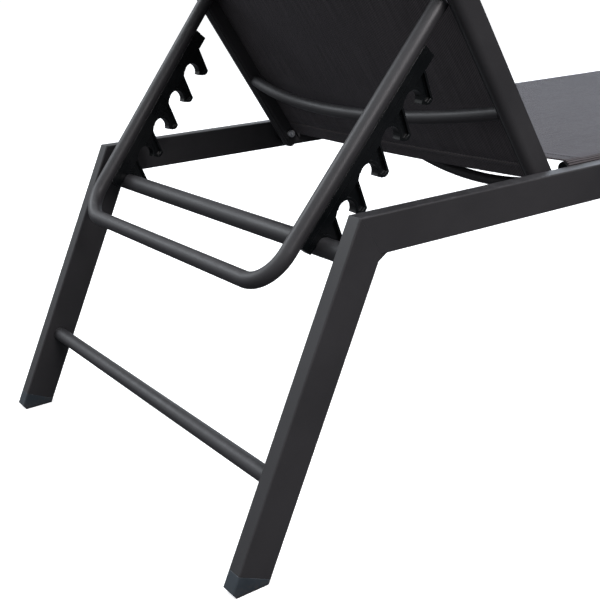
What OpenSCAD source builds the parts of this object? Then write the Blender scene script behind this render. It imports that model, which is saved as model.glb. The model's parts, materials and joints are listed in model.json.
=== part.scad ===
// Reclining sun lounger: a raked-leg aluminium frame with a stretched seat sling, a hinged
// sling backrest, and a swinging bail whose notched racks hook over the rest crossbar.
// Millimetres. X runs across, Y runs from the head end to the foot end, Z is up.
// The origin is on the floor, midway between the four feet.

/* [Frame] */
// Width over the two side rails
overall_w = 600; // [540:1:680]
// Height of the side rails' top face above the floor
rail_top = 363; // [320:1:400]
// Length between the outer corners where the side rail meets its legs
frame_len = 1330; // [1230:1:1500]
// How far each foot stands out beyond its corner
leg_rake = 176; // [130:1:210]
// Width of the flat tube of the rails and legs
tube_w = 20; // [16:0.5:24]
// Depth of the flat tube of the rails and legs
tube_d = 42; // [38:0.5:46]
// Diameter of the crossbar that the racks hook over
rest_bar_d = 22; // [19:0.5:22.5]
// Diameter of the crossbars between the lower legs
leg_bar_d = 19; // [16:0.5:25]
// Height of the lower crossbars' axes above the floor
leg_bar_z = 102; // [80:1:140]
// Length of leg covered by a foot cap, along its outer edge
foot_cap_len = 27; // [24:1:40]

/* [Backrest] */
// Distance from the rear corner to the backrest's pivot
pivot_setback = 300; // [270:1:330]
// Depth of the backrest's pivot below the rail top
pivot_drop = 18; // [16:0.5:21]
// Length of the backrest from its pivot to its top end
backrest_len = 740; // [690:1:800]
// Angle of the backrest above the horizontal, in its highest notch
backrest_angle = 58.5; // [54:0.5:62]
// Width of the backrest's rail profile
back_rail_w = 17.5; // [16:0.5:20]
// Depth of the backrest's rail profile
back_rail_d = 28; // [25:0.5:28]
// Gap between a backrest rail and its side rail
back_gap = 9; // [6:0.5:14]

/* [Bail and racks] */
// Distance up the backrest from its pivot to the bail's pivot
bail_up = 256; // [245:1:270]
// Diameter of the bail's tube
bail_d = 19; // [16:0.5:20]
// Distance in from a side rail's outer face to an arm's axis, at the bottom of the bail
bail_inset = 76; // [72:1:100]
// Radius of the bends, to the tube's axis
bail_bend_r = 45; // [35:1:60]
// Number of hooks on each rack
hook_count = 5; // [4:1:5]
// Distance between one hook and the next
hook_pitch = 45.5; // [42:0.5:48]
// Thickness of a rack across its hooks
rack_w = 12; // [9:0.5:14]

/* [Seat] */
// Height of the seat rails' top above the side rails
seat_rise = 4; // [3:0.5:7]
// Width of a seat rail
seat_rail_w = 16; // [15:0.5:20]
// Gap between the backrest's pivot and the seat rails' ends
seat_gap = 28; // [24:0.5:40]
// Diameter of the bowed spreaders
spreader_d = 16; // [13:0.5:17]
// Drop of the seat spreaders at their middle
seat_bow = 67; // [40:1:80]
// Depth of the backrest spreaders' bow at their middle
back_bow = 37; // [25:1:45]

/* [Hidden] */
$fn = 48;

// how far a cutting shape runs past the face that it cuts
past = 1;

// colours
powder_coat = "#33333a";
moulding_black = "#1b1b1e";
cap_grey = "#454a52";
sling_grey = "#585c68";
zinc = "#c3c6c9";
nylon = "#26262a";

// frame
tube_wall = 1.6;
tube_r = 2;
rear_y = -frame_len/2;
leg_run = sqrt(rail_top*rail_top + leg_rake*leg_rake);
leg_tilt = atan(leg_rake/rail_top);
rail_x = overall_w/2 - tube_w/2;
clear_x = overall_w/2 - tube_w;
// the mitre's inner end, measured from the outer corner
mitre_y = tube_d*(1 - sin(leg_tilt))/cos(leg_tilt);
mitre_reach = 3;
rest_bar_y = rear_y + 4.5;
rest_bar_z = rail_top - tube_d - 2.4;
bar_wall = 1.5;
weld_leg = 8;

// backrest
pivot_y = rear_y + pivot_setback;
pivot_z = rail_top - pivot_drop;
back_x = clear_x - back_gap - back_rail_w/2;
back_in_x = clear_x - back_gap - back_rail_w;
back_wall = 1.8;
back_nose_r = back_rail_w/2;
slot_r = 3;
slot_mouth = 2.4;
// depth of the backrest's sling channel's centre in from the rail's inner face
slot_in = 4.4;
sling_t = 1.2;
keder_r = 2.6;
// height of the sling's middle plane above the backrest rails' centre line
back_sling_z = back_rail_d/2 - 4.5;
spreader_drop = 4;
lower_spreader_at = 104.5;
upper_spreader_at = 655;
top_bar_at = backrest_len - 12;
// height of the sling's lower edge above the pivot, along the backrest
sling_low = -5;
// the rails' rounded tails past the pivot, and the bead on them
tail_len = 19.5;
tail_r = 8.5;
bead_r = 1.3;

// bolts
bolt_r = 4;
running = 0.05;
bolt_head_r = 5.5;
bolt_head_h = 5;
nut_r = 5.6;
nut_len = 15;
bail_nut_len = 12.5;
washer_t = 1;
washer_r = 7.5;

// bail, seen in its own frame: its pivot at the origin, its arms down -Z, hooks towards +Y
pocket_up = 68.6;
pocket_out = 33;
pocket_r = rest_bar_d/2 + 0.5;
tip_out = 54;
// depth of the bail's pivot behind the backrest rails' centre line
bail_drop = 4;
bail_y = pivot_y - bail_up*cos(backrest_angle) - bail_drop*sin(backrest_angle);
bail_z = pivot_z + bail_up*sin(backrest_angle) - bail_drop*cos(backrest_angle);
bar_reach = sqrt(pow(bail_y - rest_bar_y, 2) + pow(bail_z - rest_bar_z, 2));
arm_rest = sqrt(bar_reach*bar_reach - pocket_out*pocket_out);
arm_len = pocket_up + arm_rest;
arm_angle = atan2(bail_z - rest_bar_z, bail_y - rest_bar_y) - atan(pocket_out/arm_rest);
bail_top_x = back_in_x - bail_d/2 - 2;
bail_half_w = overall_w/2 - bail_inset;
splay = atan((bail_top_x - bail_half_w)/arm_len);
bend_turn = 90 - splay;
bend_reach = bail_bend_r*tan(bend_turn/2);
arm_tail = 7;
// how far each straight stretch of the bail runs into its bends, and their thinning
joint_lap = 0.5;
bend_thinning = 0.03;
rack_low = pocket_up - 15;
rack_high = pocket_up + (hook_count - 1)*hook_pitch + 51.5;
spine_out = 22;
lug_out = 25.4;
rivet_r = 2.4;
rivet_head_r = 3.4;

// seat
seat_top = rail_top + seat_rise;
seat_in_x = clear_x - seat_rail_w;
seat_flap = 1.4;
seat_nose_r = (seat_rail_w - seat_flap)/2;
seat_nose_x = seat_in_x + seat_nose_r;
seat_rail_d = 29;
seat_start = pivot_y + seat_gap;
seat_end = frame_len/2 - 34;
seat_slot_z = seat_top - 14;
spreader_z = seat_top - 18;

// ---------- shapes shared by several parts ----------

// a shape in the side view (Y, Z) given its thickness across, centred on x
module side_plate(x, thick) {
    translate([x - thick/2, 0, 0]) rotate([90, 0, 90]) linear_extrude(thick) children();
}

// flat tube section with rounded corners, width along x and depth along y
module rounded_section(w, d, r) {
    for (sx = [-1, 1])
        for (sy = [-1, 1])
            translate([sx*(w/2 - r), sy*(d/2 - r)]) circle(r);
    square([w - 2*r, d], center = true);
    square([w, d - 2*r], center = true);
}

module flat_tube(len) {
    linear_extrude(len) difference() {
        rounded_section(tube_w, tube_d, tube_r);
        rounded_section(tube_w - 2*tube_wall, tube_d - 2*tube_wall, tube_r - tube_wall/2);
    }
}

// round tube lying across the lounger, between the faces at plus and minus half
module cross_tube(half, d, wall) {
    translate([-half, 0, 0]) rotate([0, 90, 0]) difference() {
        cylinder(h = 2*half, d = d);
        translate([0, 0, -past]) cylinder(h = 2*half + 2*past, d = d - 2*wall);
    }
}

// a bar across the lounger between plus and minus half, bowed down by sag at its middle
module bowed_bar(half, sag, d) {
    bow_r = (half*half + sag*sag)/(2*sag);
    turn = 2*asin(half/bow_r) + 6;
    intersection() {
        translate([0, 0, bow_r - sag]) rotate([90, 0, 0]) rotate([0, 0, -90 - turn/2])
            rotate_extrude(angle = turn, $fn = 96) translate([bow_r, 0]) difference() {
                circle(d = d, $fn = 32);
                circle(d = d - 2*bar_wall, $fn = 32);
            }
        translate([-half, -d, -sag - d]) cube([2*half, 2*d, sag + 3*d]);
    }
}

// a part that is mirrored onto the other side
module both_sides() {
    children();
    mirror([1, 0, 0]) children();
}

module front_and_rear() {
    children();
    mirror([0, 1, 0]) children();
}

// the backrest's frame: origin at its pivot, lying flat towards -Y
module on_backrest() {
    translate([0, pivot_y, pivot_z]) rotate([-backrest_angle, 0, 0]) children();
}

// the bail's frame: origin at its pivot, arms down -Z
module on_bail() {
    translate([0, bail_y, bail_z]) rotate([arm_angle - 90, 0, 0]) children();
}

// the frame of the right arm: Z runs up its axis from the corner of the bail
module on_arm() {
    translate([bail_half_w, 0, -arm_len]) rotate([0, splay, 0]) children();
}

// a bolt along +X: its shank runs from x = 0, and its rounded head lies below that
module cross_bolt(len) {
    rotate([0, 90, 0]) cylinder(h = len, r = bolt_r);
    difference() {
        rotate([0, 90, 0]) translate([0, 0, -bolt_head_h])
            cylinder(h = bolt_head_h, r = bolt_head_r);
        // hexagon socket
        translate([-bolt_head_h - past, 0, 0]) rotate([0, 90, 0])
            cylinder(h = past + 3, d = 5.8, $fn = 6);
    }
}

// a rivet nut along +X: a flange from x = -1 to 0, and a barrel of length len beyond it
module rivet_nut(len) {
    rotate([0, 90, 0]) difference() {
        union() {
            cylinder(h = len, r = nut_r);
            translate([0, 0, -1]) cylinder(h = 1, r = nut_r + 2);
        }
        translate([0, 0, -1 - past]) cylinder(h = len + 1 + 2*past, r = bolt_r);
    }
}

// ---------- frame ----------

// the side view of everything on the rail's side of the two mitres
module between_mitres() {
    lean = mitre_y/tube_d;
    over = mitre_reach*tube_d;
    polygon([[rear_y + lean*over, rail_top - over], [rear_y - lean*over, rail_top + over],
             [-rear_y + lean*over, rail_top + over],
             [-rear_y - lean*over, rail_top - over]]);
}

module side_rail() {
    difference() {
        intersection() {
            translate([rail_x, rear_y - tube_d, rail_top - tube_d/2]) rotate([-90, 0, 0])
                flat_tube(frame_len + 2*tube_d);
            side_plate(rail_x, 2*tube_w) between_mitres();
        }
        // hole for the backrest pivot's rivet nut, through the inner wall
        translate([clear_x - past, pivot_y, pivot_z]) rotate([0, 90, 0])
            cylinder(h = tube_wall + past + 0.2, r = nut_r);
        // holes for the seat rail's screws, through the inner wall
        for (y = seat_screw_places())
            translate([clear_x - past, y, seat_screw_z()]) rotate([0, 90, 0])
                cylinder(h = tube_wall + past + 0.2, r = 2.5);
    }
}

module side_rail_right() { color(powder_coat) side_rail(); }
module side_rail_left() { color(powder_coat) mirror([1, 0, 0]) side_rail(); }

// the rear right leg: a flat tube down its slope, mitred at the top, cut square at the foot
module leg() {
    difference() {
        translate([rail_x, rear_y, rail_top]) rotate([-leg_tilt, 0, 0])
            translate([0, tube_d/2, -leg_run + foot_cap_len])
                flat_tube(leg_run - foot_cap_len + 2*tube_d);
        side_plate(rail_x, 2*tube_w) between_mitres();
        // everything above the mitre line
        side_plate(rail_x, 2*tube_w)
            translate([rear_y - 3*tube_d, rail_top]) square([6*tube_d, 3*tube_d]);
    }
}

module rear_leg_right() { color(powder_coat) leg(); }
module rear_leg_left() { color(powder_coat) mirror([1, 0, 0]) leg(); }
module front_leg_right() { color(powder_coat) mirror([0, 1, 0]) leg(); }
module front_leg_left() { color(powder_coat) mirror([0, 1, 0]) mirror([1, 0, 0]) leg(); }

// the flat weld fillet in the inner corner under each mitre
module corner_weld() {
    side_plate(rail_x, tube_w - 3)
        translate([rear_y + mitre_y, rail_top - tube_d])
            polygon([[0, 0], [weld_leg, 0], [-weld_leg*sin(leg_tilt), -weld_leg*cos(leg_tilt)]]);
}

module corner_welds() {
    color(powder_coat) front_and_rear() both_sides() corner_weld();
}

// a moulded foot: a wedge with a level sole under the square-cut tube, and a plug inside it
module foot_cap() {
    sole_edge = 3;
    toe = 8;
    toe_up = 6.8;
    plug_w = tube_w - 2*tube_wall - 0.4;
    plug_d = tube_d - 2*tube_wall - 0.4;
    intersection() {
        translate([rail_x, rear_y, rail_top]) rotate([-leg_tilt, 0, 0])
            translate([0, tube_d/2, -leg_run - tube_d]) {
                linear_extrude(tube_d + foot_cap_len)
                    rounded_section(tube_w, tube_d, tube_r);
                translate([0, 0, tube_d + foot_cap_len])
                    linear_extrude(18) rounded_section(plug_w, plug_d, 1);
            }
        // sole with a cut-off toe, seen from the side
        side_plate(rail_x, tube_w + 2) polygon([
            [rear_y - leg_rake + toe, 0], [rear_y, 0], [rear_y, rail_top],
            [rear_y - 2*leg_rake, rail_top],
            [rear_y - leg_rake - toe + 2*toe_up*tan(leg_tilt), 2*toe_up]]);
        // bevelled sole edges, seen from the end
        translate([rail_x, 0, 0]) rotate([90, 0, 0]) linear_extrude(4*frame_len, center = true)
            polygon([[-tube_w/2 + sole_edge/2, 0], [tube_w/2 - sole_edge/2, 0],
                     [tube_w/2, sole_edge], [tube_w/2, rail_top], [-tube_w/2, rail_top],
                     [-tube_w/2, sole_edge]]);
    }
}

module foot_cap_rear_right() { color(cap_grey) foot_cap(); }
module foot_cap_rear_left() { color(cap_grey) mirror([1, 0, 0]) foot_cap(); }
module foot_cap_front_right() { color(cap_grey) mirror([0, 1, 0]) foot_cap(); }
module foot_cap_front_left() {
    color(cap_grey) mirror([0, 1, 0]) mirror([1, 0, 0]) foot_cap();
}

module rest_crossbar() {
    color(powder_coat) translate([0, rest_bar_y, rest_bar_z])
        cross_tube(clear_x, rest_bar_d, bar_wall);
}

module foot_end_crossbar() {
    color(powder_coat) translate([0, -rest_bar_y, rest_bar_z])
        cross_tube(clear_x, rest_bar_d, bar_wall);
}

// a tube between two legs, on the legs' centre lines
module leg_crossbar() {
    down = (rail_top - leg_bar_z)/cos(leg_tilt);
    axis_y = rear_y - down*sin(leg_tilt) + tube_d/2/cos(leg_tilt);
    translate([0, axis_y, leg_bar_z]) cross_tube(clear_x, leg_bar_d, bar_wall);
}

module rear_leg_crossbar() { color(powder_coat) leg_crossbar(); }
module front_leg_crossbar() { color(powder_coat) mirror([0, 1, 0]) leg_crossbar(); }

// ---------- seat ----------

function seat_screw_places() = [for (i = [0:3])
    seat_start + 60 + i*(seat_end - seat_start - 120)/3];
function seat_screw_z() = seat_top - seat_rail_d + 7;

// section of the right seat rail: round nose on top, sling channel open towards the side rail
module seat_rail_section() {
    foot_h = seat_rail_d - 17;
    difference() {
        union() {
            translate([seat_in_x, seat_top - seat_rail_d]) square([seat_rail_w, foot_h]);
            translate([seat_in_x, seat_top - seat_rail_d])
                square([2*seat_nose_r, seat_rail_d - seat_nose_r]);
            translate([seat_nose_x, seat_top - seat_nose_r]) circle(seat_nose_r);
        }
        // hollow foot
        translate([seat_in_x + 2, seat_top - seat_rail_d + 2])
            square([seat_rail_w - 4, foot_h - 4]);
        // sling channel and its mouth
        translate([seat_nose_x + 3.5, seat_slot_z]) circle(slot_r);
        translate([seat_nose_x + 3.5, seat_slot_z - slot_mouth/2])
            square([seat_rail_w, slot_mouth]);
    }
}

module seat_rail() {
    difference() {
        translate([0, seat_end, 0]) rotate([90, 0, 0]) linear_extrude(seat_end - seat_start)
            seat_rail_section();
        for (y = seat_screw_places())
            translate([seat_in_x - past, y, seat_screw_z()]) rotate([0, 90, 0])
                cylinder(h = seat_rail_w + 2*past, r = 2.5);
    }
}

module seat_rail_right() { color(powder_coat) seat_rail(); }
module seat_rail_left() { color(powder_coat) mirror([1, 0, 0]) seat_rail(); }

// a thin moulded plate over each end of the seat rails
module seat_rail_caps() {
    cap_t = 1.6;
    color(moulding_black) both_sides()
        for (y = [seat_start, seat_end + cap_t])
            translate([0, y, 0]) rotate([90, 0, 0]) linear_extrude(cap_t) {
                translate([seat_in_x, seat_top - seat_rail_d])
                    square([2*seat_nose_r, seat_rail_d - seat_nose_r - 0.6]);
                translate([seat_nose_x, seat_top - seat_nose_r - 0.6]) circle(seat_nose_r);
            }
}

module seat_rail_screws() {
    head_r = 4.5;
    color(zinc) both_sides()
        for (y = seat_screw_places())
            translate([seat_in_x, y, seat_screw_z()]) rotate([0, 90, 0]) {
                cylinder(h = seat_rail_w + tube_wall + 3, r = 2.5);
                translate([0, 0, -2.2]) cylinder(h = 2.2, r = head_r);
            }
}

module seat_spreader(y) {
    color(powder_coat) translate([0, y, spreader_z])
        bowed_bar(seat_in_x, seat_bow, spreader_d);
}

module seat_spreader_rear() { seat_spreader(pivot_y + 180); }
module seat_spreader_middle() { seat_spreader((pivot_y + 180 + seat_end - 90)/2); }
module seat_spreader_front() { seat_spreader(seat_end - 90); }

// the right edge of the seat sling: over the rail's nose and down to the channel
module seat_sling_edge() {
    difference() {
        translate([seat_nose_x, seat_top - seat_nose_r]) circle(seat_nose_r + sling_t);
        translate([seat_nose_x, seat_top - seat_nose_r]) circle(seat_nose_r);
        translate([0, seat_top - 3*seat_nose_r]) square([seat_nose_x, 4*seat_nose_r]);
        translate([seat_nose_x - past, seat_top - 4*seat_nose_r])
            square([4*seat_nose_r, 3*seat_nose_r]);
    }
    translate([seat_nose_x + seat_nose_r, seat_slot_z - sling_t/2])
        square([sling_t, seat_top - seat_nose_r - seat_slot_z + sling_t/2]);
    translate([seat_nose_x + 3.5 + keder_r, seat_slot_z - sling_t/2])
        square([seat_nose_r - 3.5 - keder_r + sling_t/2, sling_t]);
}

module seat_sling() {
    color(sling_grey) translate([0, seat_end - 2, 0]) rotate([90, 0, 0])
        linear_extrude(seat_end - seat_start - 2) {
            translate([-seat_nose_x, seat_top]) square([2*seat_nose_x, sling_t]);
            seat_sling_edge();
            mirror([1, 0]) seat_sling_edge();
        }
}

module seat_keder_rods() {
    color(nylon) both_sides()
        translate([seat_nose_x + 3.5, seat_end - 2, seat_slot_z]) rotate([90, 0, 0])
            cylinder(h = seat_end - seat_start - 2, r = keder_r);
}

// ---------- backrest pivot ----------

module pivot_bolts() {
    color(zinc) both_sides()
        translate([back_in_x - 1.2, pivot_y, pivot_z])
            cross_bolt(back_rail_w + back_gap + tube_wall + 10);
}

module pivot_rivet_nuts() {
    color(zinc) both_sides() translate([clear_x, pivot_y, pivot_z]) rivet_nut(nut_len);
}

// nylon spacers between the backrest rails and the side rails
module pivot_spacers() {
    flange_r = nut_r + 2;
    color(nylon) both_sides()
        translate([clear_x - back_gap + 0.3, pivot_y, pivot_z]) rotate([0, 90, 0]) difference() {
            cylinder(h = back_gap - 0.3, r = 11);
            translate([0, 0, -past]) cylinder(h = back_gap + past, r = bolt_r);
            // seat for the rivet nut's flange
            translate([0, 0, back_gap - 1.3]) cylinder(h = 2, r = flange_r);
        }
}

// ---------- backrest ----------

// outline of the right backrest rail, seen from its lower end: y is towards the sitter
module back_rail_outline() {
    translate([-back_rail_w/2, -back_rail_d/2 + back_nose_r])
        square([back_rail_w, back_rail_d - back_nose_r]);
    translate([0, -back_rail_d/2 + back_nose_r]) circle(back_nose_r);
}

// the bead along the rail's rear inner edge, in the same section
module back_rail_bead() {
    translate([-back_rail_w/2 + bead_r, -back_rail_d/2 + back_nose_r - 5.15]) circle(bead_r);
}

module back_rail_hollow() {
    core = back_rail_w - 2*back_wall;
    translate([0, -back_rail_d/2 + back_nose_r]) circle(core/2);
    translate([-core/2, -back_rail_d/2 + back_nose_r]) square([core, 8.2]);
}

// the sling channel and its mouth, in the same section
module back_slot_section() {
    translate([-back_rail_w/2 + slot_in, back_sling_z]) circle(slot_r);
    translate([-back_rail_w/2 - past, back_sling_z - slot_mouth/2])
        square([past + slot_in, slot_mouth]);
}

module back_rail() {
    whole = backrest_len + tail_len;
    difference() {
        intersection() {
            translate([back_x, tail_len, 0]) rotate([90, 0, 0]) linear_extrude(whole) {
                back_rail_outline();
                back_rail_bead();
            }
            // rounded corners of the lower end, seen from the side
            side_plate(back_x, 2*back_rail_w) translate([tail_len - whole/2 - tail_r, 0])
                rounded_section(whole + 2*tail_r, back_rail_d + 0.6, tail_r);
        }
        // hollow, above the closed tail
        translate([back_x, -tail_len, 0]) rotate([90, 0, 0]) linear_extrude(backrest_len)
            back_rail_hollow();
        translate([back_x, back_rail_d, 0]) rotate([90, 0, 0])
            linear_extrude(backrest_len + 2*back_rail_d) back_slot_section();
        // bore for the pivot's bush
        translate([back_in_x - past, 0, 0]) rotate([0, 90, 0])
            cylinder(h = back_rail_w + 2*past, r = bolt_r + 2);
        // hole for the bail pivot's rivet nut, through the inner wall
        translate([back_in_x - past, -bail_up, -bail_drop]) rotate([0, 90, 0])
            cylinder(h = back_rail_w/2 + past, r = nut_r);
    }
}

module backrest_rail_right() { color(powder_coat) on_backrest() back_rail(); }
module backrest_rail_left() { color(powder_coat) on_backrest() mirror([1, 0, 0]) back_rail(); }

// moulded covers on the top ends of the backrest rails
module backrest_rail_caps() {
    cap_t = 3;
    color(moulding_black) on_backrest() both_sides()
        translate([back_x, -backrest_len, 0]) rotate([90, 0, 0]) linear_extrude(cap_t) {
            back_rail_outline();
        }
}

module backrest_pivot_bushes() {
    color(nylon) on_backrest() both_sides()
        translate([back_in_x, 0, 0]) rotate([0, 90, 0]) difference() {
            cylinder(h = back_rail_w, r = bolt_r + 2);
            translate([0, 0, -past]) cylinder(h = back_rail_w + 2*past, r = bolt_r + running);
        }
}

module backrest_spreader_lower() {
    color(powder_coat) on_backrest() translate([0, -lower_spreader_at, -spreader_drop])
        bowed_bar(back_in_x, back_bow, spreader_d);
}

module backrest_spreader_upper() {
    color(powder_coat) on_backrest() translate([0, -upper_spreader_at, -spreader_drop])
        bowed_bar(back_in_x, back_bow, spreader_d);
}

module backrest_top_bar() {
    color(powder_coat) on_backrest() translate([0, -top_bar_at, -spreader_drop])
        cross_tube(back_in_x, leg_bar_d, bar_wall);
}

module backrest_sling() {
    edge = back_in_x + slot_in - keder_r;
    color(sling_grey) on_backrest()
        translate([-edge, -backrest_len + 4, back_sling_z - sling_t/2])
            cube([2*edge, backrest_len - 4 - sling_low, sling_t]);
}

module backrest_keder_rods() {
    color(nylon) on_backrest() both_sides()
        translate([back_in_x + slot_in, -sling_low, back_sling_z]) rotate([90, 0, 0])
            cylinder(h = backrest_len - 4 - sling_low, r = keder_r);
}

// ---------- bail and racks ----------

// the bail's centre line swept with a round section of the given radius: the straights
// reach a little into the bends, which are a hair thinner, as a bent tube's are
module bail_sweep(r, extra) {
    straight = bail_half_w - bend_reach + joint_lap;
    translate([-straight, 0, -arm_len]) rotate([0, 90, 0]) cylinder(h = 2*straight, r = r);
    both_sides() {
        translate([bail_half_w - bend_reach, 0, -arm_len + bail_bend_r])
            rotate([90, 0, 0]) rotate([0, 0, -90])
                rotate_extrude(angle = bend_turn, $fn = 96) translate([bail_bend_r, 0])
                    circle(r - bend_thinning);
        on_arm() translate([0, 0, bend_reach - joint_lap])
            cylinder(h = arm_len/cos(splay) - bend_reach + arm_tail + joint_lap + extra, r = r);
    }
}

// each rivet's height up the arm, and how far its head's seat is from the arm's axis
function rivet_seats() = [[pocket_up + hook_pitch - 9, spine_out - 1.5],
    [pocket_up + 3*hook_pitch - 9, spine_out - 1.5], [rack_high - 8.5, lug_out - 1.5]];

module rack_rivet_places(lift = 0) {
    for (place = rivet_seats())
        translate([0, 0, place[0]]) rotate([-90, 0, 0]) translate([0, 0, lift*place[1]]) children();
}

module support_bail() {
    color(powder_coat) on_bail() difference() {
        bail_sweep(bail_d/2, 0);
        bail_sweep(bail_d/2 - bar_wall, past);
        both_sides() {
            // bore for the pivot bolt
            translate([bail_top_x - bail_d, 0, 0]) rotate([0, 90, 0])
                cylinder(h = 2*bail_d, r = bolt_r + running);
            // holes for the rack's rivets
            on_arm() rack_rivet_places() cylinder(h = bail_d, r = rivet_r);
        }
    }
}

module bail_end_plugs() {
    color(moulding_black) on_bail() both_sides() on_arm()
        translate([0, 0, arm_len/cos(splay) + arm_tail]) {
            cylinder(h = 1.2, r = bail_d/2 - bar_wall);
            translate([0, 0, -2.5]) cylinder(h = 2.5, r = bail_d/2 - bar_wall);
        }
}

// one hook's outer edge from its root down to its tip and back into the pocket, with the
// pocket's centre at the origin
function hook_edge() = [[-8, 33], [tip_out - pocket_out, 16],
    [tip_out - pocket_out + 0.6, 12], [tip_out - pocket_out - 0.6, 8.5],
    [tip_out - pocket_out - 4, 5.5], [pocket_r + 0.2, 3.4], [0, 0],
    [spine_out - pocket_out, -6]];

module rack_outline() {
    base = bail_d/2 - 3;
    difference() {
        polygon(concat(
            [[spine_out, rack_low], [base, rack_low], [base, rack_high],
             [lug_out, rack_high], [lug_out, rack_high - 17]],
            [for (i = [hook_count - 1:-1:0]) for (p = hook_edge())
                [pocket_out + p[0], pocket_up + i*hook_pitch + p[1]]]));
        for (i = [0:hook_count - 1])
            translate([pocket_out, pocket_up + i*hook_pitch]) circle(pocket_r);
    }
}

// the hollow in each side of a hook, which leaves a web, an outer rim and a broad lip
// round the pocket
module hook_hollow() {
    lip = 3;
    difference() {
        polygon([[-9.5, 8], [-8, 30.3], [tip_out - pocket_out - 3, 15.2],
                 [tip_out - pocket_out - 3.7, 9.5], [pocket_r - 0.5, 7]]);
        circle(pocket_r + lip);
    }
}

// the right rack: a moulded comb that saddles the arm's tube
module rack() {
    web = 3.6;
    flange_out = 14;
    difference() {
        union() {
            side_plate(0, rack_w) rack_outline();
            // flange along the tube
            side_plate(0, rack_w + 3) translate([bail_d/2 - 3, rack_low])
                square([flange_out - bail_d/2 + 3, rack_high - rack_low]);
        }
        for (i = [0:hook_count - 1])
            for (side = [-1, 1])
                translate([side*(web/2 + rack_w/4 + past/2), 0, 0])
                    side_plate(0, rack_w/2 + past)
                        translate([pocket_out, pocket_up + i*hook_pitch]) hook_hollow();
        // saddle for the tube
        cylinder(h = arm_len, d = bail_d);
        rack_rivet_places() cylinder(h = 2*spine_out, r = rivet_r);
        rack_rivet_places(1) cylinder(h = spine_out, r = rivet_head_r + 0.2);
    }
}

module notch_rack_right() { color(moulding_black) on_bail() on_arm() rack(); }
module notch_rack_left() {
    color(moulding_black) on_bail() mirror([1, 0, 0]) on_arm() rack();
}

// rivets through the arm's wall and the rack, each with its head in a counterbore
module rack_rivets() {
    tail = bail_d/2 - bar_wall - 2;
    color(zinc) on_bail() both_sides() on_arm()
        for (place = rivet_seats())
            translate([0, 0, place[0]]) rotate([-90, 0, 0]) {
                translate([0, 0, tail]) cylinder(h = place[1] - tail, r = rivet_r);
                translate([0, 0, place[1]]) cylinder(h = 1.2, r = rivet_head_r);
            }
}

// where the washer's inner face stands, clear of the tilted arm
function washer_x() = bail_top_x - bail_d/2/cos(splay) - washer_r*tan(splay) - 0.1 - washer_t;

module bail_pivot_bolts() {
    color(zinc) on_backrest() both_sides()
        translate([washer_x(), -bail_up, -bail_drop])
            cross_bolt(back_in_x + bail_nut_len - 2 - washer_x());
}

module bail_pivot_rivet_nuts() {
    color(zinc) on_backrest() both_sides()
        translate([back_in_x, -bail_up, -bail_drop]) rivet_nut(bail_nut_len);
}

module bail_pivot_washers() {
    color(nylon) on_backrest() both_sides()
        translate([washer_x(), -bail_up, -bail_drop]) rotate([0, 90, 0]) difference() {
            cylinder(h = washer_t, r = washer_r);
            translate([0, 0, -past]) cylinder(h = washer_t + 2*past, r = bolt_r);
        }
}

side_rail_left();
side_rail_right();
rear_leg_left();
rear_leg_right();
front_leg_left();
front_leg_right();
corner_welds();
foot_cap_rear_left();
foot_cap_rear_right();
foot_cap_front_left();
foot_cap_front_right();
rest_crossbar();
foot_end_crossbar();
rear_leg_crossbar();
front_leg_crossbar();
seat_rail_left();
seat_rail_right();
seat_rail_caps();
seat_rail_screws();
seat_spreader_rear();
seat_spreader_middle();
seat_spreader_front();
seat_sling();
seat_keder_rods();
pivot_bolts();
pivot_rivet_nuts();
pivot_spacers();
backrest_rail_left();
backrest_rail_right();
backrest_rail_caps();
backrest_pivot_bushes();
backrest_spreader_lower();
backrest_spreader_upper();
backrest_top_bar();
backrest_sling();
backrest_keder_rods();
bail_pivot_bolts();
bail_pivot_rivet_nuts();
bail_pivot_washers();
support_bail();
bail_end_plugs();
notch_rack_left();
notch_rack_right();
rack_rivets();
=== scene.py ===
"""Reclining sun lounger: powder-coated aluminium tube, coated mesh slings, moulded notch racks."""
import bpy
import json
import math
from mathutils import Matrix, Vector


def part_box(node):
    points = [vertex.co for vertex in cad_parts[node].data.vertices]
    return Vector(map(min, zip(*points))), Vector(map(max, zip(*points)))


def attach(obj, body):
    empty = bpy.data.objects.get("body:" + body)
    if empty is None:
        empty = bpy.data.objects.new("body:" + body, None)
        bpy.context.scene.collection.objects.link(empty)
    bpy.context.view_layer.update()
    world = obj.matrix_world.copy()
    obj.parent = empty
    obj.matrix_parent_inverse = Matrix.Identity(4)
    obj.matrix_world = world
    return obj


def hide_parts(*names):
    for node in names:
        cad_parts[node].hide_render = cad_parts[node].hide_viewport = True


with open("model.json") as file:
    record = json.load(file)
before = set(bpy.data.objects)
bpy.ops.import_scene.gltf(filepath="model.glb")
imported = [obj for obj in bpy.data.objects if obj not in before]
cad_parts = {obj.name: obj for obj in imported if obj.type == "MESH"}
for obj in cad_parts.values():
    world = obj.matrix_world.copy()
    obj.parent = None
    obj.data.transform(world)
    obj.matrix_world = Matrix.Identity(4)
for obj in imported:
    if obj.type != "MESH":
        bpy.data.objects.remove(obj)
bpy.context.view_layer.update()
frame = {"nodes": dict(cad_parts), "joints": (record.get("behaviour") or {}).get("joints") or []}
made = frame["nodes"]

# ---- Side rails, legs and crossbars ----
# Flat oval-cornered aluminium tube, mitred and welded at the corners, with round tube across.
# All of it is powder coated after welding: a dark grey skin with a fine dry texture that
# gathers a little light dust on top and rubs paler along its corners.


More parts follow.
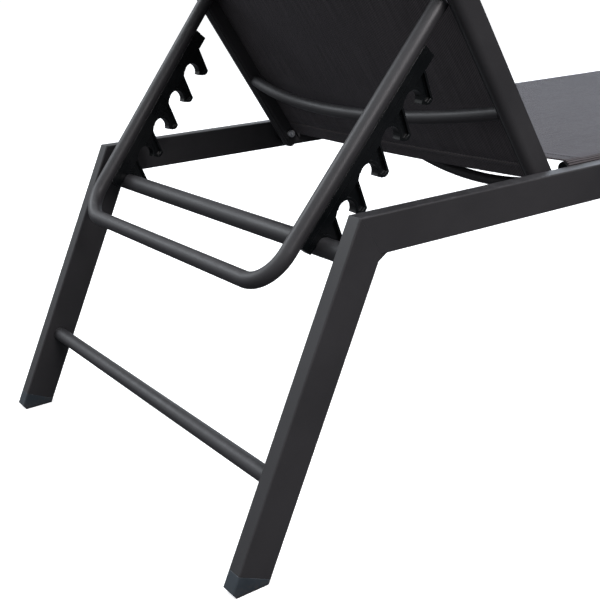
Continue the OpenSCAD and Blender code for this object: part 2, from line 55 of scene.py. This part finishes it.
def effect(name, takes, gives):
    """An empty node group: takes maps inputs to their values, gives maps outputs to their kinds."""
    group = bpy.data.node_groups.new(name, "ShaderNodeTree")
    for label, value in takes.items():
        kind = "NodeSocketVector" if value is None else "NodeSocketFloat"
        socket = group.interface.new_socket(label, in_out="INPUT", socket_type=kind)
        if value is not None:
            socket.default_value = value
    for label, kind in gives.items():
        group.interface.new_socket(label, in_out="OUTPUT", socket_type=kind)
    return group, group.nodes.new("NodeGroupInput").outputs, group.nodes.new("NodeGroupOutput").inputs


def add(tree, kind, settings=(), **feeds):
    """A node of this kind. A feed named in_0 goes to input 0; a socket is linked, a value is set."""
    made_node = tree.nodes.new("ShaderNode" + kind)
    for label, value in dict(settings).items():
        setattr(made_node, label, value)
    for label, value in feeds.items():
        place = int(label[3:]) if label.startswith("in_") else label.replace("_", " ")
        socket = made_node.inputs[place]
        if isinstance(value, bpy.types.NodeSocket):
            tree.links.new(value, socket)
        else:
            socket.default_value = value
    return made_node


def sums(tree, operation, a, b=None, c=None):
    """The result of one Math node."""
    feeds = {f"in_{i}": v for i, v in enumerate((a, b, c)) if v is not None}
    return add(tree, "Math", {"operation": operation}, **feeds).outputs[0]


def between(tree, value, low, high, to_low=0.0, to_high=1.0):
    """value moved from low..high to another range, with smooth ends."""
    return add(tree, "MapRange", {"interpolation_type": "SMOOTHSTEP"}, Value=value, From_Min=low,
               From_Max=high, To_Min=to_low, To_Max=to_high).outputs[0]


def tint(tree, share, first, second):
    """first mixed into second by share."""
    return add(tree, "Mix", {"data_type": "RGBA"}, in_0=share, in_6=first, in_7=second).outputs[2]


def use(tree, group, **feeds):
    """One of the effect groups, placed in a material with this material's own values."""
    placed = tree.nodes.new("ShaderNodeGroup")
    placed.node_tree = group
    for label, value in feeds.items():
        placed.inputs[label.replace("_", " ")].default_value = value
    return placed.outputs


def finish_material(name, **constants):
    """A material with one Principled surface whose constants are set on its own sockets."""
    material = bpy.data.materials.new(name)
    material.use_nodes = True
    tree = material.node_tree
    surface = tree.nodes["Principled BSDF"]
    for label, value in constants.items():
        surface.inputs[label.replace("_", " ")].default_value = value
    return material, tree, surface.inputs


def bumped(tree, height, normal, strength, distance):
    """normal tilted by the slopes of height; distance is the relief's depth in metres."""
    return add(tree, "Bump", Strength=strength, Distance=distance, Height=height,
               Normal=normal).outputs[0]


def dress(material, names):
    """Gives the carried-over nodes this finish."""
    for label in names:
        made[label].data.materials.clear()
        made[label].data.materials.append(material)


# corners eased by the finish, and an edge mask: rubbed wear on most finishes, a painted highlight along the
# black mouldings' rims
corner_wear_and_highlight, takes, gives = effect(
    "corner_wear_and_highlight", {"Radius": 0.001, "Spread": 0.35, "Patch Size": 60.0},
    {"Normal": "NodeSocketVector", "Wear And Highlight": "NodeSocketFloat"})
eased = add(corner_wear_and_highlight, "Bevel", {"samples": 6}, Radius=takes["Radius"])
facing = add(corner_wear_and_highlight, "NewGeometry").outputs["True Normal"]
level = add(corner_wear_and_highlight, "VectorMath", {"operation": "DOT_PRODUCT"}, in_0=eased.outputs[0], in_1=facing)
turned = sums(corner_wear_and_highlight, "SUBTRACT", 1.0, level.outputs["Value"])
where = add(corner_wear_and_highlight, "TexCoord").outputs["Object"]
patches = add(corner_wear_and_highlight, "TexNoise", Vector=where, Scale=takes["Patch Size"], Detail=4.0, Roughness=0.7)
broken = between(corner_wear_and_highlight, patches.outputs[0], 0.38, 0.66)
edge = between(corner_wear_and_highlight, turned, 0.02, takes["Spread"])
corner_wear_and_highlight.links.new(eased.outputs[0], gives["Normal"])
corner_wear_and_highlight.links.new(sums(corner_wear_and_highlight, "MULTIPLY", edge, broken), gives["Wear And Highlight"])

# the dry grain of a sprayed or moulded skin, with a slow drift of tone
fine_grain, takes, gives = effect(
    "fine_grain", {"Grain": 1500.0, "Drift": 9.0},
    {"Height": "NodeSocketFloat", "Tone": "NodeSocketFloat"})
where = add(fine_grain, "TexCoord").outputs["Object"]
pits = add(fine_grain, "TexNoise", Vector=where, Scale=takes["Grain"], Detail=3.0, Roughness=0.6)
flow = add(fine_grain, "TexNoise", Vector=where, Scale=takes["Drift"], Detail=5.0, Roughness=0.62)
swell = add(fine_grain, "TexNoise", Vector=where, Scale=140.0, Detail=1.0)
uneven = sums(fine_grain, "MULTIPLY_ADD", swell.outputs[0], 0.5, pits.outputs[0])
fine_grain.links.new(uneven, gives["Height"])
fine_grain.links.new(between(fine_grain, flow.outputs[0], 0.3, 0.72), gives["Tone"])

# pale dust that lies on faces turned up
settled_dust, takes, gives = effect(
    "settled_dust", {"Cover": 0.3, "Fleck Size": 70.0}, {"Dust": "NodeSocketFloat"})
where = add(settled_dust, "TexCoord").outputs["Object"]
upward = add(settled_dust, "SeparateXYZ", Vector=add(settled_dust, "NewGeometry").outputs["Normal"])
flecks = add(settled_dust, "TexNoise", Vector=where, Scale=takes["Fleck Size"], Detail=6.0, Roughness=0.75)
lying = between(settled_dust, upward.outputs["Z"], 0.35, 1.0)
thick = between(settled_dust, flecks.outputs[0], 0.42, 0.75)
held = sums(settled_dust, "MULTIPLY", lying, thick)
settled_dust.links.new(sums(settled_dust, "MULTIPLY", held, takes["Cover"]), gives["Dust"])

powder_coat, tree, surface = finish_material("powder_coat", Specular_IOR_Level=0.4)
corner = use(tree, corner_wear_and_highlight, Radius=0.0009, Spread=0.3, Patch_Size=45.0)
grain = use(tree, fine_grain, Grain=1900.0, Drift=7.0)
dust = use(tree, settled_dust, Cover=0.22, Fleck_Size=90.0)
body = tint(tree, grain["Tone"], (0.0275, 0.0268, 0.0285, 1), (0.0335, 0.0325, 0.0345, 1))
body = tint(tree, dust["Dust"], body, (0.14, 0.14, 0.145, 1))
body = tint(tree, sums(tree, "MULTIPLY", corner["Wear And Highlight"], 0.5), body, (0.1, 0.1, 0.105, 1))
tree.links.new(body, surface["Base Color"])
tree.links.new(between(tree, grain["Tone"], 0.0, 1.0, 0.4, 0.5), surface["Roughness"])
tree.links.new(bumped(tree, grain["Height"], corner["Normal"], 0.12, 0.0004), surface["Normal"])

dress(powder_coat, [
    "side_rail_left", "side_rail_right", "rear_leg_left", "rear_leg_right", "front_leg_left",
    "front_leg_right", "corner_welds", "rest_crossbar", "foot_end_crossbar", "rear_leg_crossbar",
    "front_leg_crossbar"])

# ---- Foot caps ----
# Moulded grey plugs pushed into the cut ends of the legs, with a level sole and a bevelled rim.
# The plastic is matt with a fine spark-eroded grain, scuffed and a little dirty near the ground.
foot_plastic, tree, surface = finish_material("foot_plastic", Specular_IOR_Level=0.38)
corner = use(tree, corner_wear_and_highlight, Radius=0.0014, Spread=0.3, Patch_Size=120.0)
grain = use(tree, fine_grain, Grain=1100.0, Drift=30.0)
height_up = add(tree, "SeparateXYZ", Vector=add(tree, "TexCoord").outputs["Object"]).outputs["Z"]
scuffs = add(tree, "TexNoise", Vector=add(tree, "TexCoord").outputs["Object"], Scale=260.0, Detail=5.0)
low = between(tree, height_up, 0.016, 0.001)
grime = sums(tree, "MULTIPLY", low, between(tree, scuffs.outputs[0], 0.4, 0.65))
body = tint(tree, grain["Tone"], (0.026, 0.034, 0.042, 1), (0.034, 0.043, 0.052, 1))
body = tint(tree, sums(tree, "MULTIPLY", grime, 0.6), body, (0.06, 0.055, 0.05, 1))
body = tint(tree, corner["Wear And Highlight"], body, (0.17, 0.185, 0.2, 1))
tree.links.new(body, surface["Base Color"])
tree.links.new(between(tree, grain["Tone"], 0.0, 1.0, 0.5, 0.66), surface["Roughness"])
tree.links.new(bumped(tree, grain["Height"], corner["Normal"], 0.3, 0.0005), surface["Normal"])
dress(foot_plastic, ["foot_cap_rear_left", "foot_cap_rear_right", "foot_cap_front_left",
                     "foot_cap_front_right"])

# ---- Seat rails, their caps and screws, and the seat spreaders ----
# Extruded rails with a round nose and a channel for the sling's edge, screwed inside the side
# rails. Bowed tubes hold them apart. Thin moulded plates close the rails' ends.
dress(powder_coat, ["seat_rail_left", "seat_rail_right", "seat_spreader_rear",
                    "seat_spreader_middle", "seat_spreader_front"])

black_moulding, tree, surface = finish_material("black_moulding", Specular_IOR_Level=0.36)
corner = use(tree, corner_wear_and_highlight, Radius=0.0011, Spread=0.4, Patch_Size=90.0)
grain = use(tree, fine_grain, Grain=900.0, Drift=25.0)
dust = use(tree, settled_dust, Cover=0.08, Fleck_Size=160.0)
body = tint(tree, grain["Tone"], (0.0022, 0.0029, 0.0033, 1), (0.0036, 0.0045, 0.0050, 1))
body = tint(tree, dust["Dust"], body, (0.1, 0.1, 0.1, 1))
# a paler line along the moulded edges: a painted highlight on the rims, laid on the edge mask
body = tint(tree, sums(tree, "MULTIPLY", corner["Wear And Highlight"], 0.6), body, (0.075, 0.082, 0.086, 1))
tree.links.new(body, surface["Base Color"])
tree.links.new(between(tree, grain["Tone"], 0.0, 1.0, 0.22, 0.33), surface["Roughness"])
tree.links.new(bumped(tree, grain["Height"], corner["Normal"], 0.14, 0.0005), surface["Normal"])
dress(black_moulding, ["seat_rail_caps"])

zinc_plate, tree, surface = finish_material("zinc_plate", Metallic=1.0)
corner = use(tree, corner_wear_and_highlight, Radius=0.0005, Spread=0.3, Patch_Size=300.0)
grain = use(tree, fine_grain, Grain=2600.0, Drift=160.0)
body = tint(tree, grain["Tone"], (0.82, 0.84, 0.86, 1), (0.93, 0.93, 0.92, 1))
body = tint(tree, corner["Wear And Highlight"], body, (0.9, 0.9, 0.9, 1))
tree.links.new(body, surface["Base Color"])
tree.links.new(between(tree, grain["Tone"], 0.0, 1.0, 0.42, 0.6), surface["Roughness"])
tree.links.new(bumped(tree, grain["Height"], corner["Normal"], 0.15, 0.0002), surface["Normal"])
dress(zinc_plate, ["seat_rail_screws"])

# ---- Seat sling ----
# One length of coated polyester mesh, with a cord sewn into each long edge that slides down the
# rails' channels. It runs over the rails' noses. Each end is folded under and lockstitched.
CLOTH = 0.0010
HEM = 0.022
LAYER = 1.15          # how far a hem's top layer lies above the folded one, in cloth thicknesses
FOLD_BEND = 0.0012    # the run of cloth that turns over at the fold
ROW_SHIFT = 0.0005    # sets the top layer's rows off from the folded layer's
HEM_FADE = 0.014      # beyond the hem, the top layer comes down over this length
CELL = 0.014          # a row of the cloth's grid away from its hems
CELLS_ACROSS = 26     # columns of the grid from the middle to the rail
STITCH_IN = 0.017     # from the fold to the row of stitches
STITCH_PITCH = 0.0042
STITCH_HALF = 0.00165
STITCH_CROWN = 0.00028   # the thread's middle stands this far off the cloth
STITCH_DIVE = 0.00045    # and its ends go down by this much
THREAD_R = 0.00038

# ribs of thick yarn down the cloth with a lower one woven across, drawn on the flat cut's map
mesh_weave, takes, gives = effect(
    "mesh_weave", {"Across": 0.0026, "Along": 0.0014},
    {"Height": "NodeSocketFloat", "Thread": "NodeSocketFloat", "Tone": "NodeSocketFloat"})
cloth_place = add(mesh_weave, "UVMap", {"uv_map": "cloth"}).outputs[0]
parts = add(mesh_weave, "SeparateXYZ", Vector=cloth_place)
warp = sums(mesh_weave, "DIVIDE", parts.outputs["X"], takes["Across"])
weft = sums(mesh_weave, "DIVIDE", parts.outputs["Y"], takes["Along"])
round_thread = []
for along_thread in (warp, weft):
    off = sums(mesh_weave, "MULTIPLY_ADD", sums(mesh_weave, "FRACT", along_thread), 2.0, -1.0)
    round_thread.append(sums(mesh_weave, "SQRT", sums(mesh_weave, "SUBTRACT", 1.0, sums(
        mesh_weave, "MULTIPLY", off, off))))
rise = []
for count, along_thread in ((warp, weft), (weft, warp)):
    turn = sums(mesh_weave, "ADD", sums(mesh_weave, "FLOOR", count), along_thread)
    rise.append(sums(mesh_weave, "COSINE", sums(mesh_weave, "MULTIPLY", turn, math.pi)))
warp_top = sums(mesh_weave, "MULTIPLY", round_thread[0], sums(
    mesh_weave, "MULTIPLY_ADD", rise[0], 0.05, 0.95))
weft_top = sums(mesh_weave, "MULTIPLY", round_thread[1], sums(
    mesh_weave, "MULTIPLY_ADD", rise[1], -0.05, 0.42))
top = sums(mesh_weave, "MAXIMUM", warp_top, weft_top)
mesh_weave.links.new(top, gives["Height"])
mesh_weave.links.new(between(mesh_weave, top, 0.35, 0.95), gives["Thread"])
streak_place = add(mesh_weave, "VectorMath", {"operation": "MULTIPLY"}, in_0=cloth_place, in_1=(420, 9, 1))
streaks = add(mesh_weave, "TexNoise", Vector=streak_place.outputs[0], Scale=1.0, Detail=2.0)
blotches = add(mesh_weave, "TexNoise", Vector=cloth_place, Scale=14.0, Detail=4.0)
tone = sums(mesh_weave, "MULTIPLY_ADD", streaks.outputs[0], 0.7, sums(
    mesh_weave, "MULTIPLY", blotches.outputs[0], 0.3))
mesh_weave.links.new(between(mesh_weave, tone, 0.3, 0.7), gives["Tone"])

sling_mesh, tree, surface = finish_material("sling_mesh", Specular_IOR_Level=0.03, Sheen_Weight=0.05,
                                            Sheen_Roughness=0.5, Sheen_Tint=(0.66, 0.78, 1.0, 1))
weave = use(tree, mesh_weave)
dust = use(tree, settled_dust, Cover=0.2, Fleck_Size=120.0)
yarn = tint(tree, weave["Tone"], (0.074, 0.065, 0.066, 1), (0.104, 0.092, 0.094, 1))
# the gaps between the threads are painted near black: painted shade in the recesses between the yarns
yarn = tint(tree, weave["Thread"], (0.005, 0.0048, 0.005, 1), yarn)
yarn = tint(tree, dust["Dust"], yarn, (0.13, 0.135, 0.15, 1))
tree.links.new(yarn, surface["Base Color"])
tree.links.new(between(tree, weave["Thread"], 0.0, 1.0, 0.85, 0.5), surface["Roughness"])
upright = add(tree, "NewGeometry").outputs["Normal"]
tree.links.new(bumped(tree, weave["Height"], upright, 0.55, 0.0005), surface["Normal"])

thread_material, tree, surface = finish_material("hem_thread", Roughness=0.7, Specular_IOR_Level=0.3)
twist_place = add(tree, "TexCoord").outputs["Object"]
twist = add(tree, "TexWave", Vector=twist_place, Scale=900.0, Distortion=1.0)
tree.links.new(tint(tree, twist.outputs[1], (0.03, 0.03, 0.034, 1), (0.075, 0.075, 0.085, 1)),
               surface["Base Color"])
tree.links.new(bumped(tree, twist.outputs[1], add(tree, "NewGeometry").outputs["Normal"], 0.4, 0.0003),
               surface["Normal"])


def smooth_step(t):
    t = min(max(t, 0.0), 1.0)
    return t*t*(3 - 2*t)


def puckers(d, rise, wave, drift, rate):
    """Small uneven waves down a stretched edge at distance d: their height and their length."""
    return rise*math.sin(2*math.pi*d/wave + drift*math.sin(d*rate))


def hemmed_run(length):
    """(distance from the near end, lift above the rail in cloth thicknesses) down a hemmed cloth."""
    fold = [(HEM - HEM*i/6, 0.0) for i in range(6)] + [(FOLD_BEND, 0.0)]
    bends = [math.pi*i/5 for i in range(1, 5)]
    turn = [(FOLD_BEND/2*(1 - math.sin(a)), LAYER/2*(1 - math.cos(a))) for a in bends]
    top_layer = [(FOLD_BEND, LAYER)] + [(HEM*i/6 + ROW_SHIFT, LAYER) for i in range(1, 7)]
    blend = [(HEM + HEM_FADE*i/5, LAYER*(1 - smooth_step(i/5))) for i in range(1, 6)]
    half = fold + turn + top_layer + blend
    flat_from, flat_to = half[-1][0], length - half[-1][0]
    steps = round((flat_to - flat_from)/CELL)
    middle = [(flat_from + (flat_to - flat_from)*i/steps, 0.0) for i in range(1, steps)]
    return half + middle + [(length - d, lift) for d, lift in reversed(half)]


def cloth_piece(name, across, run, place, body_name):
    """A sheet from its own flat grid: across gives the width's stations, run comes from hemmed_run,
    and place turns (station, distance, lift) into a point. Its map is the flat cut, in metres."""
    points = [place(a, d, lift) for d, lift in run for a in across]
    wide = len(across)
    faces = [(r*wide + c, r*wide + c + 1, (r + 1)*wide + c + 1, (r + 1)*wide + c)
             for r in range(len(run) - 1) for c in range(wide - 1)]
    mesh = bpy.data.meshes.new(name)
    mesh.from_pydata(points, [], faces)
    down = [0.0]
    for r in range(1, len(run)):
        step = Vector(points[r*wide + wide//2]) - Vector(points[(r - 1)*wide + wide//2])
        down.append(down[-1] + step.length)
    cut = mesh.uv_layers.new(name="cloth")
    for loop in mesh.loops:
        cut.data[loop.index].uv = (across[loop.vertex_index % wide], down[loop.vertex_index // wide])
    mesh.polygons.foreach_set("use_smooth", [True]*len(mesh.polygons))
    piece = bpy.data.objects.new(name, mesh)
    bpy.context.scene.collection.objects.link(piece)
    thick_cloth = piece.modifiers.new("cloth_thickness", "SOLIDIFY")
    thick_cloth.thickness, thick_cloth.offset = CLOTH, 0.0
    mesh.materials.append(sling_mesh)
    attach(piece, body_name)
    return piece, down[-1]


def stitch_row(name, stations, body_name, material):
    """Lockstitches as short round-backed loops of thread. Each station is (point, along, up)."""
    points, faces = [], []
    for point, along, up in stations:
        side = along.cross(up)
        start = len(points)
        for i in range(7):
            t = -1 + i/3
            swell_here = 0.25 + 0.75*math.sqrt(max(0.0, 1 - t*t))
            middle = point + along*(STITCH_HALF*t) + up*(STITCH_CROWN - STITCH_DIVE*t*t)
            for k in range(6):
                a = math.pi*k/3
                points.append(middle + (side*math.cos(a) + up*math.sin(a))*THREAD_R*swell_here)
        for i in range(6):
            for k in range(6):
                faces.append((start + i*6 + k, start + i*6 + (k + 1) % 6,
                              start + (i + 1)*6 + (k + 1) % 6, start + (i + 1)*6 + k))
        faces.append(tuple(start + k for k in reversed(range(6))))
        faces.append(tuple(start + 36 + k for k in range(6)))
    mesh = bpy.data.meshes.new(name)
    mesh.from_pydata(points, [], faces)
    mesh.polygons.foreach_set("use_smooth", [True]*len(mesh.polygons))
    mesh.materials.append(material)
    row = bpy.data.objects.new(name, mesh)
    bpy.context.scene.collection.objects.link(row)
    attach(row, body_name)
    return row


CAD_CLOTH = 0.0012    # the plain sheet in the frame that the cloth stands in for
CLEAR = 0.0001        # between the cloth and what it lies on
SEAT_SAG = 0.005
SAG_FADE = 0.12       # the sag eases off over this length at each hem
PUCKER_FROM = 0.17    # the cloth puckers from here towards the rail, measured from the middle
PUCKER_RUN = 0.08     # and fully after this much more
PUCKER_END = 0.02     # and lies smooth again over the last stretch before the nose
BEND_GAP = 0.0002     # a second column this close keeps a bend sharp
IN_CHANNEL = 0.0004   # lift of one layer where the channel grips it
seat_low, seat_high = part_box("seat_rail_right")
seat_cloth_low, seat_cloth_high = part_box("seat_sling")
keder_low, keder_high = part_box("seat_keder_rods")
nose_r = (seat_cloth_high.x - CAD_CLOTH - seat_low.x)/2
nose_x = seat_low.x + nose_r
slot_z = (keder_low.z + keder_high.z)/2
nose_arc = nose_r + CLOTH/2 + CLEAR
drop_len = seat_high.z - nose_r - slot_z
mouth_len = nose_arc - (keder_high.x - nose_x)
seat_half = nose_x + nose_arc*math.pi/2 + drop_len + mouth_len
seat_len = seat_cloth_high.y - seat_cloth_low.y


def seat_place(a, d, lift):
    """A point of the seat cloth: a is measured across from the middle, d from the head end. It runs
    level, round the nose, down the nose's side and back into the channel."""
    side, a = (1 if a >= 0 else -1), abs(a)
    out = nose_arc + lift*CLOTH
    y = seat_cloth_low.y + d
    near_rail = smooth_step((a - PUCKER_FROM)/PUCKER_RUN)
    ripple = puckers(d, rise=0.00035, wave=0.046, drift=1.7, rate=9)*near_rail
    if a <= nose_x:
        ends = smooth_step(d/SAG_FADE)*smooth_step((seat_len - d)/SAG_FADE)
        sag = SEAT_SAG*(0.55 + 0.45*ends)*(1 - (a/nose_x)**2)
        ripple *= 1 - smooth_step((a - nose_x + PUCKER_END)/PUCKER_END)
        x, z = a, seat_high.z - nose_r + out - sag + ripple
    elif a <= nose_x + nose_arc*math.pi/2:
        turn = (a - nose_x)/nose_arc
        x, z = nose_x + out*math.sin(turn), seat_high.z - nose_r + out*math.cos(turn)
    elif a <= seat_half - mouth_len:
        x, z = nose_x + out, seat_high.z - nose_r - (a - nose_x - nose_arc*math.pi/2)
    else:
        x, z = nose_x + out - (a - seat_half + mouth_len), slot_z + lift*IN_CHANNEL
    return side*x, y, z


flat_stations = [nose_x*i/CELLS_ACROSS for i in range(CELLS_ACROSS + 1)]
nose_stations = [nose_x + nose_arc*math.pi/2*i/8 for i in range(1, 9)]
edge_stations = [seat_half - mouth_len - drop_len*0.5, seat_half - mouth_len,
                 seat_half - mouth_len + BEND_GAP, seat_half]
half_stations = flat_stations + nose_stations + edge_stations
seat_across = [-a for a in reversed(half_stations[1:])] + half_stations
seat_cloth, seat_cut_len = cloth_piece("seat_cloth", seat_across, hemmed_run(seat_len), seat_place, "frame")
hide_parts("seat_sling")


def seat_stitches(d):
    """Stations of one row of stitching across the seat at distance d."""
    found = []
    count = int(nose_x*2/STITCH_PITCH)
    for i in range(count):
        a = -nose_x + nose_x*2*(i + 0.5)/count
        here = Vector(seat_place(a, d, LAYER))
        along = (Vector(seat_place(a + 0.001, d, LAYER)) - here).normalized()
        up = along.cross(Vector((0, 1, 0))).normalized()
        up = up if up.z > 0 else -up
        found.append((here + up*(CLOTH/2), along, up))
    return found


seat_stitching = stitch_row("seat_hem_stitching", seat_stitches(STITCH_IN)
                            + seat_stitches(seat_len - STITCH_IN), "frame", thread_material)

# The nylon cords in the cloth's edges are smooth black rod, a little waxy.
nylon, tree, surface = finish_material("nylon", Specular_IOR_Level=0.45)
corner = use(tree, corner_wear_and_highlight, Radius=0.0006, Spread=0.4, Patch_Size=200.0)
grain = use(tree, fine_grain, Grain=1300.0, Drift=60.0)
body = tint(tree, grain["Tone"], (0.011, 0.011, 0.012, 1), (0.02, 0.02, 0.021, 1))
tree.links.new(tint(tree, corner["Wear And Highlight"], body, (0.06, 0.06, 0.06, 1)), surface["Base Color"])
tree.links.new(between(tree, grain["Tone"], 0.0, 1.0, 0.35, 0.5), surface["Roughness"])
tree.links.new(bumped(tree, grain["Height"], corner["Normal"], 0.12, 0.0004), surface["Normal"])
dress(nylon, ["seat_keder_rods"])

# ---- Backrest pivots ----
# A zinc-plated bolt on each side runs through the backrest rail's bush and a nylon spacer into a
# rivet nut set in the side rail.
dress(zinc_plate, ["pivot_bolts", "pivot_rivet_nuts"])
dress(nylon, ["pivot_spacers", "backrest_pivot_bushes"])

# ---- Backrest frame ----
# Extruded rails, rounded at the back, with a bead along the rear inner edge and a sling channel.
# Two bowed tubes and a straight top tube are welded between them. Moulded covers close the tops.
dress(powder_coat, ["backrest_rail_left", "backrest_rail_right", "backrest_spreader_lower",
                    "backrest_spreader_upper", "backrest_top_bar"])
dress(black_moulding, ["backrest_rail_caps"])

# ---- Backrest sling ----
# The same coated mesh, stretched flat between the backrest rails' channels. Its lower hem hangs
# in a shallow curve between the rails, and both hems are folded under and lockstitched.
hinge = next(j for j in frame["joints"] if j["name"] == "backrest_recline")
pivot = Vector(hinge["pos_m"])
recline = math.radians(hinge["range_deg"][1])
back_up = Vector((0, -math.cos(recline), math.sin(recline)))
back_front = Vector((0, math.sin(recline), math.cos(recline)))
cloth_vertices = [v.co for v in made["backrest_sling"].data.vertices]
sling_heights = [(v - pivot).dot(back_front) for v in cloth_vertices]
sling_alongs = [(v - pivot).dot(back_up) for v in cloth_vertices]
sling_plane = (min(sling_heights) + max(sling_heights))/2
sling_top = max(sling_alongs)
back_half = max(v.x for v in cloth_vertices)
clear_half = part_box("backrest_rail_right")[0].x
back_len = sling_top - min(sling_alongs)
BACK_SAG = 0.004
HEM_SIDE = -0.0005    # the lower hem's line beside the rails, up from the plain sheet's end
HEM_DIP = 0.002       # how much lower it hangs in the middle
HEM_EASE = 0.25       # the rows above the hem straighten over this length
TUCK_AT = 0.03        # the hem's layers start to close up this far inside the rails
TUCK_RUN = 0.028      # and are closed up after this much more


def back_place(a, d, lift):
    """A point of the backrest cloth: a is across from the middle, d is up from the lower hem."""
    share = min(abs(a)/clear_half, 1.0)
    hem_line = HEM_SIDE - HEM_DIP*(1 - share**2.4)
    at_end = smooth_step(d/HEM_EASE)
    along = sling_top - back_len + d + hem_line*(1 - at_end)
    tuck = smooth_step((abs(a) - clear_half + TUCK_AT)/TUCK_RUN)
    sag = BACK_SAG*(0.6 + 0.4*at_end)*(1 - share**2)
    step = (lift - LAYER/2)*CLOTH*(1 - 0.55*tuck)
    ripple = puckers(d, rise=0.0003, wave=0.052, drift=1.3, rate=11)*smooth_step((share - 0.7)/0.2)
    height = sling_plane - sag + step + ripple*(1 - tuck)
    return tuple(pivot + Vector((a, 0, 0)) + back_up*along + back_front*height)


flat_stations = [clear_half*i/CELLS_ACROSS for i in range(CELLS_ACROSS + 1)]
half_stations = flat_stations + [clear_half + (back_half - clear_half)*i/2 for i in (1, 2)]
back_across = [-a for a in reversed(half_stations[1:])] + half_stations
back_cloth, back_cut_len = cloth_piece(
    "backrest_cloth", back_across, hemmed_run(back_len), back_place, "backrest")
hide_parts("backrest_sling")


def back_stitches(d, face):
    """Stations of one row across the backrest at distance d, on its front (1) or its back (-1)."""
    found = []
    count = int(clear_half*2/STITCH_PITCH)
    for i in range(count):
        a = -clear_half + clear_half*2*(i + 0.5)/count
        lift = LAYER if face > 0 else 0.0
        here = Vector(back_place(a, d, lift))
        along = (Vector(back_place(a + 0.001, d, lift)) - here).normalized()
        up = back_front*face
        found.append((here + up*(CLOTH/2), along, up))
    return found


back_stitching = stitch_row(
    "backrest_hem_stitching",
    [s for d in (STITCH_IN, back_len - STITCH_IN) for face in (1, -1) for s in back_stitches(d, face)],
    "backrest", thread_material)
dress(nylon, ["backrest_keder_rods"])

# ---- Bail, its pivots and the notch racks ----
# One bent tube hangs from a bolt through each backrest rail. A moulded comb of hooks is riveted
# along each arm, glossier than the coat around it, and drops over the rear crossbar.
dress(powder_coat, ["support_bail"])
dress(black_moulding, ["bail_end_plugs", "notch_rack_left", "notch_rack_right"])
dress(zinc_plate, ["bail_pivot_bolts", "bail_pivot_rivet_nuts", "rack_rivets"])
dress(nylon, ["bail_pivot_washers"])

# ---- Floor, light and camera ----
# A plain pale floor that runs to the horizon, bright to the camera and dark grey to every other ray,
# which keeps the undersides dark. Soft lights stand overhead, at the head end, on the right and at
# the foot end, under a sky that brightens upward and towards the head end's left.
FLOOR_REACH = 40.0
FLOOR_GLOW = 0.62
floor_mesh = bpy.data.meshes.new("floor")
floor_mesh.from_pydata([(FLOOR_REACH*x, FLOOR_REACH*y, 0) for x, y in ((-1, -1), (1, -1), (1, 1), (-1, 1))],
                       [], [(0, 1, 2, 3)])
floor = bpy.data.objects.new("floor", floor_mesh)
bpy.context.scene.collection.objects.link(floor)
floor_paint, tree, surface = finish_material("floor_paint", Roughness=0.9, Specular_IOR_Level=0.1)
shade = add(tree, "TexNoise", Vector=add(tree, "TexCoord").outputs["Object"], Scale=1.2, Detail=3.0)
paint = tint(tree, shade.outputs[0], (0.9, 0.9, 0.9, 1), (0.93, 0.93, 0.93, 1))
seen = add(tree, "LightPath").outputs["Is Camera Ray"]
tree.links.new(tint(tree, seen, (0.075, 0.075, 0.08, 1), paint), surface["Base Color"])
surface["Emission Color"].default_value = (1.0, 1.0, 1.0, 1)
tree.links.new(sums(tree, "MULTIPLY", seen, FLOOR_GLOW), surface["Emission Strength"])
floor_mesh.materials.append(floor_paint)

world = bpy.data.worlds.new("studio")
world.use_nodes = True
sky = world.node_tree
glow = sky.nodes["Background"].inputs
glow["Color"].default_value = (0.93, 0.96, 1.0, 1)
heading = add(sky, "TexCoord").outputs["Generated"]
towards = add(sky, "VectorMath", {"operation": "DOT_PRODUCT"}, in_0=heading, in_1=(-0.52, -0.62, 0.58))
sky.links.new(between(sky, towards.outputs["Value"], -0.5, 0.95, 0.06, 0.8), glow["Strength"])
bpy.context.scene.world = world


def soft_light(name, place, aim, size, power, tone):
    """A rectangular light at place, turned to face aim."""
    lamp = bpy.data.lights.new(name, "AREA")
    lamp.shape, lamp.size, lamp.size_y, lamp.energy = "RECTANGLE", size[0], size[1], power
    lamp.color = tone
    holder = bpy.data.objects.new(name, lamp)
    holder.location = place
    holder.rotation_euler = (Vector(aim) - Vector(place)).to_track_quat("-Z", "Y").to_euler()
    bpy.context.scene.collection.objects.link(holder)


soft_light("overhead", (0.2, -0.4, 3.4), (0, -0.4, 0.3), (4.0, 4.0), 76, (0.93, 0.96, 1.0))
soft_light("head_side", (-2.4, -2.3, 2.6), (0, -0.6, 0.35), (1.6, 1.6), 50, (0.9, 0.95, 1.0))
soft_light("near_side", (2.3, -0.5, 1.8), (0.2, -0.5, 0.3), (1.5, 1.2), 49, (1.0, 0.96, 0.98))
soft_light("foot_side", (-2.6, 2.6, 1.25), (0, -0.2, 0.3), (2.4, 1.5), 26, (0.8, 0.88, 1.0))

# The camera stands off the head end's right corner, near the height of the backrest's middle, and
# looks down a little.
STAND = Vector((1.03828, -1.24859, 0.60461))
AZIMUTH, ELEVATION, ROLL = math.radians(55.477), math.radians(18.972), math.radians(-2.529)
look = Vector((-math.sin(AZIMUTH)*math.cos(ELEVATION), math.cos(AZIMUTH)*math.cos(ELEVATION),
               -math.sin(ELEVATION)))
level_right = look.cross(Vector((0, 0, 1))).normalized()
level_up = level_right.cross(look)
right = level_right*math.cos(ROLL) + level_up*math.sin(ROLL)
up = level_up*math.cos(ROLL) - level_right*math.sin(ROLL)
lens = bpy.data.cameras.new("camera")
lens.sensor_width, lens.lens = 36.0, 59.53
camera = bpy.data.objects.new("camera", lens)
camera.matrix_world = Matrix((
    (right.x, up.x, -look.x, STAND.x), (right.y, up.y, -look.y, STAND.y),
    (right.z, up.z, -look.z, STAND.z), (0, 0, 0, 1)))
bpy.context.scene.collection.objects.link(camera)
bpy.context.scene.camera = camera
bpy.context.scene.view_settings.view_transform = "Standard"
